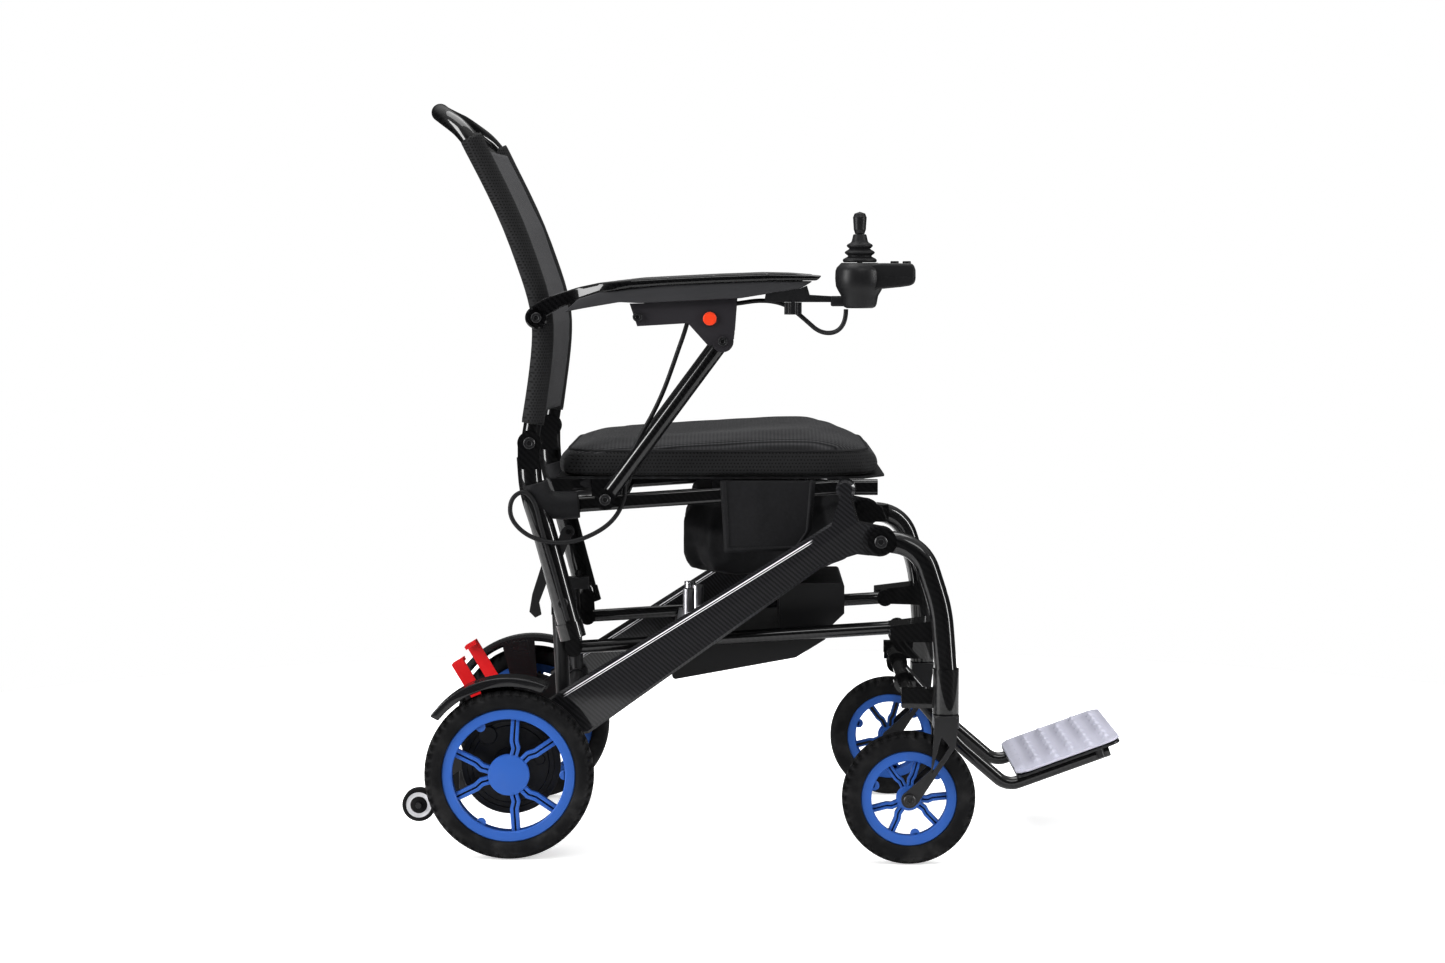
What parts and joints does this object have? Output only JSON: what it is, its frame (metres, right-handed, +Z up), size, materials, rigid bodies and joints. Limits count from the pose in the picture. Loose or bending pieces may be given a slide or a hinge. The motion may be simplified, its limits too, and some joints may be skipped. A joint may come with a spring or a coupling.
{
  "type": "power wheelchair",
  "caption": "Folding power wheelchair with splayed carbon side beams, spoked drive wheels and casters, sling back, padded seat, flip-back armrests, joystick pod and ribbed footplate.",
  "frame": {"origin": "on the floor, at the centre of the whole chair's length and width", "axes": "+X forward, +Y to the rider's left, +Z up"},
  "size_m": [0.9893, 0.607, 1.018],
  "materials": {
    "twill_carbon": "clear-coated twill carbon fibre",
    "gloss_black_tube": "high-gloss black carbon tube",
    "armrest_gloss": "gloss black top, matt underside",
    "satin_black_metal": "satin black powder coat",
    "motor_black": "satin black die casting",
    "satin_black_plastic": "moulded black plastic",
    "charcoal_plastic": "charcoal moulded plastic",
    "wheel_blue": "blue moulded wheel",
    "tyre_rubber": "puncture-proof black tread",
    "antitip_white": "white wheel with black hub",
    "lever_red": "red powder coat",
    "button_orange": "orange-red button",
    "connector_silver": "silver connectors on a black block",
    "foot_white": "white ribbed moulding",
    "seat_fabric": "black ribbed seat fabric",
    "back_mesh": "dark grey open mesh",
    "bag_nylon": "black nylon",
    "boot_rubber": "ribbed rubber boot",
    "cable_black": "black cable jacket"
  },
  "bodies": {
    "chassis": {"side_beams": "twill_carbon", "motor_mounts": "satin_black_metal", "rear_cross_tube": "satin_black_metal", "gear_motors": "motor_black", "antitip_arms": "satin_black_metal", "fenders": "satin_black_plastic", "rear_uprights": "satin_black_metal"},
    "front_frame": {"front_arches": "gloss_black_tube", "front_cross_tube": "gloss_black_tube"},
    "footrest": {"footrest_hangers": "gloss_black_tube", "footplate_frame": "satin_black_metal", "footplate": "foot_white"},
    "lower_link": {"lower_bars": "gloss_black_tube", "battery_tray": "satin_black_plastic", "power_module": "satin_black_plastic", "harness_plugs": "connector_silver"},
    "seat_frame": {"seat_rails": "gloss_black_tube", "rear_posts": "gloss_black_tube", "seat_cross_tubes": "gloss_black_tube", "seat_pan": "satin_black_metal", "seat_cushion": "seat_fabric", "under_seat_bag": "bag_nylon", "bag_flaps": "bag_nylon", "cable_loop": "cable_black"},
    "backrest": {"back_hoop": "gloss_black_tube", "back_sling": "back_mesh"},
    "gimbal": {"joystick_gimbal": "satin_black_plastic"},
    "stick": {"joystick": "satin_black_plastic"},
    "key_front": {"pod_key_2": "satin_black_plastic"},
    "key_rear": {"pod_key_1": "satin_black_plastic"},
    "clamp_knob": {"clamp_knob": "satin_black_plastic"},
    "drive_wheel_left": {"drive_rim_left": "wheel_blue", "drive_tyre_left": "tyre_rubber"},
    "caster_swivel_left": {"caster_fork_left": "satin_black_metal"},
    "caster_wheel_left": {"caster_rim_left": "wheel_blue", "caster_tyre_left": "tyre_rubber"},
    "antitip_left": {"antitip_wheel_left": "antitip_white"},
    "clutch_left": {"clutch_lever_left": "lever_red"},
    "latch_left": {"latch_lever_left": "satin_black_metal"},
    "armrest_left": {"armrest_left": "armrest_gloss", "arm_bracket_left": "charcoal_plastic"},
    "strut_left": {"arm_strut_left": "gloss_black_tube"},
    "button_left": {"release_button_left": "button_orange"},
    "drive_wheel_right": {"drive_rim_right": "wheel_blue", "drive_tyre_right": "tyre_rubber"},
    "caster_swivel_right": {"caster_fork_right": "satin_black_metal"},
    "caster_wheel_right": {"caster_rim_right": "wheel_blue", "caster_tyre_right": "tyre_rubber"},
    "antitip_right": {"antitip_wheel_right": "antitip_white"},
    "clutch_right": {"clutch_lever_right": "lever_red"},
    "latch_right": {"latch_lever_right": "satin_black_metal"},
    "armrest_right": {"armrest_right": "armrest_gloss", "arm_bracket_right": "charcoal_plastic", "joystick_pod": "satin_black_plastic", "pod_bar": "satin_black_metal", "joystick_boot": "boot_rubber", "cable_arm": "cable_black"},
    "strut_right": {"arm_strut_right": "gloss_black_tube", "cable_strut": "cable_black"},
    "button_right": {"release_button_right": "button_orange"}
  },
  "joints": [
    {"name": "frame_fold", "type": "hinge", "parent": "chassis", "child": "seat_frame", "pos_m": [0.106, 0, 0.499], "axis": [0, 1, 0], "range_deg": [0, 45], "deforming": ["under_seat_bag"]},
    {"name": "front_frame_fold", "type": "hinge", "parent": "chassis", "child": "front_frame", "pos_m": [0.1517, 0, 0.43], "axis": [0, 1, 0], "range_deg": [0, 66]},
    {"name": "lower_link_fold", "type": "hinge", "parent": "front_frame", "child": "lower_link", "pos_m": [0.178, 0, 0.307], "axis": [0, 1, 0], "range_deg": [-28, 0]},
    {"name": "footrest_fold", "type": "hinge", "parent": "front_frame", "child": "footrest", "pos_m": [0.192, 0, 0.221], "axis": [0, -1, 0], "range_deg": [0, 90]},
    {"name": "backrest_fold", "type": "hinge", "parent": "seat_frame", "child": "backrest", "pos_m": [-0.318, 0, 0.56], "axis": [0, -1, 0], "range_deg": [-55, 0], "deforming": ["cable_arm", "cable_strut", "cable_loop"]},
    {"name": "armrest_fold_left", "type": "hinge", "parent": "backrest", "child": "armrest_left", "pos_m": [-0.307, 0.244, 0.728], "axis": [0, -1, 0], "range_deg": [0, 36]},
    {"name": "strut_fold_left", "type": "hinge", "parent": "seat_frame", "child": "strut_left", "pos_m": [-0.2156, 0.25, 0.486], "axis": [0, -1, 0], "range_deg": [-48, 0]},
    {"name": "drive_wheel_spin_left", "type": "hinge", "parent": "chassis", "child": "drive_wheel_left", "pos_m": [-0.3466, 0.241, 0.1143], "axis": [0, 1, 0], "continuous": true},
    {"name": "caster_swivel_left", "type": "hinge", "parent": "front_frame", "child": "caster_swivel_left", "pos_m": [0.2384, 0.275, 0.1], "axis": [0, 0, 1], "continuous": true},
    {"name": "caster_spin_left", "type": "hinge", "parent": "caster_swivel_left", "child": "caster_wheel_left", "pos_m": [0.1894, 0.275, 0.089], "axis": [0, 1, 0], "continuous": true},
    {"name": "antitip_spin_left", "type": "hinge", "parent": "chassis", "child": "antitip_left", "pos_m": [-0.4775, 0.152, 0.0573], "axis": [0, 1, 0], "continuous": true},
    {"name": "clutch_release_left", "type": "hinge", "parent": "chassis", "child": "clutch_left", "pos_m": [-0.3466, 0.112, 0.1143], "axis": [0, -1, 0], "range_deg": [0, 30]},
    {"name": "latch_release_left", "type": "hinge", "parent": "seat_frame", "child": "latch_left", "pos_m": [-0.29, 0.188, 0.405], "axis": [0, 1, 0], "range_deg": [0, 25]},
    {"name": "arm_release_left", "type": "slide", "parent": "armrest_left", "child": "button_left", "axis": [0, -1, 0], "range_m": [0, 0.0025], "stiffness_N_per_m": 300},
    {"name": "armrest_fold_right", "type": "hinge", "parent": "backrest", "child": "armrest_right", "pos_m": [-0.307, -0.244, 0.728], "axis": [0, -1, 0], "range_deg": [0, 36]},
    {"name": "strut_fold_right", "type": "hinge", "parent": "seat_frame", "child": "strut_right", "pos_m": [-0.2156, -0.25, 0.486], "axis": [0, -1, 0], "range_deg": [-48, 0]},
    {"name": "drive_wheel_spin_right", "type": "hinge", "parent": "chassis", "child": "drive_wheel_right", "pos_m": [-0.3466, -0.241, 0.1143], "axis": [0, 1, 0], "continuous": true},
    {"name": "caster_swivel_right", "type": "hinge", "parent": "front_frame", "child": "caster_swivel_right", "pos_m": [0.2384, -0.275, 0.1], "axis": [0, 0, 1], "continuous": true},
    {"name": "caster_spin_right", "type": "hinge", "parent": "caster_swivel_right", "child": "caster_wheel_right", "pos_m": [0.1894, -0.275, 0.089], "axis": [0, 1, 0], "continuous": true},
    {"name": "antitip_spin_right", "type": "hinge", "parent": "chassis", "child": "antitip_right", "pos_m": [-0.4775, -0.152, 0.0573], "axis": [0, 1, 0], "continuous": true},
    {"name": "clutch_release_right", "type": "hinge", "parent": "chassis", "child": "clutch_right", "pos_m": [-0.3466, -0.112, 0.1143], "axis": [0, -1, 0], "range_deg": [0, 30]},
    {"name": "latch_release_right", "type": "hinge", "parent": "seat_frame", "child": "latch_right", "pos_m": [-0.29, -0.188, 0.405], "axis": [0, 1, 0], "range_deg": [0, 25]},
    {"name": "arm_release_right", "type": "slide", "parent": "armrest_right", "child": "button_right", "axis": [0, 1, 0], "range_m": [0, 0.0025], "stiffness_N_per_m": 300},
    {"name": "stick_side_tilt", "type": "hinge", "parent": "armrest_right", "child": "gimbal", "pos_m": [0.122, -0.275, 0.79], "axis": [1, 0, 0], "range_deg": [-14, 14], "stiffness_Nm_per_rad": 0.6, "deforming": ["joystick_boot"]},
    {"name": "stick_fore_tilt", "type": "hinge", "parent": "gimbal", "child": "stick", "pos_m": [0.122, -0.275, 0.79], "axis": [0, 1, 0], "range_deg": [-14, 14], "stiffness_Nm_per_rad": 0.6, "deforming": ["joystick_boot"]},
    {"name": "key_rear_press", "type": "slide", "parent": "armrest_right", "child": "key_rear", "axis": [0, 0, -1], "range_m": [0, 0.0015], "stiffness_N_per_m": 300},
    {"name": "key_front_press", "type": "slide", "parent": "armrest_right", "child": "key_front", "axis": [0, 0, -1], "range_m": [0, 0.0015], "stiffness_N_per_m": 300},
    {"name": "clamp_knob_turn", "type": "hinge", "parent": "armrest_right", "child": "clamp_knob", "pos_m": [0.034, -0.274, 0.74], "axis": [0, 0, 1], "continuous": true}
  ],
  "couplings": [
    {"joint": "front_frame_fold", "follows": "frame_fold", "ratio": 1.46},
    {"joint": "lower_link_fold", "follows": "frame_fold", "ratio": -0.6},
    {"joint": "armrest_fold_left", "follows": "backrest_fold", "ratio": -0.6},
    {"joint": "strut_fold_left", "follows": "backrest_fold", "ratio": 0.8},
    {"joint": "armrest_fold_right", "follows": "backrest_fold", "ratio": -0.6},
    {"joint": "strut_fold_right", "follows": "backrest_fold", "ratio": 0.8}
  ]
}
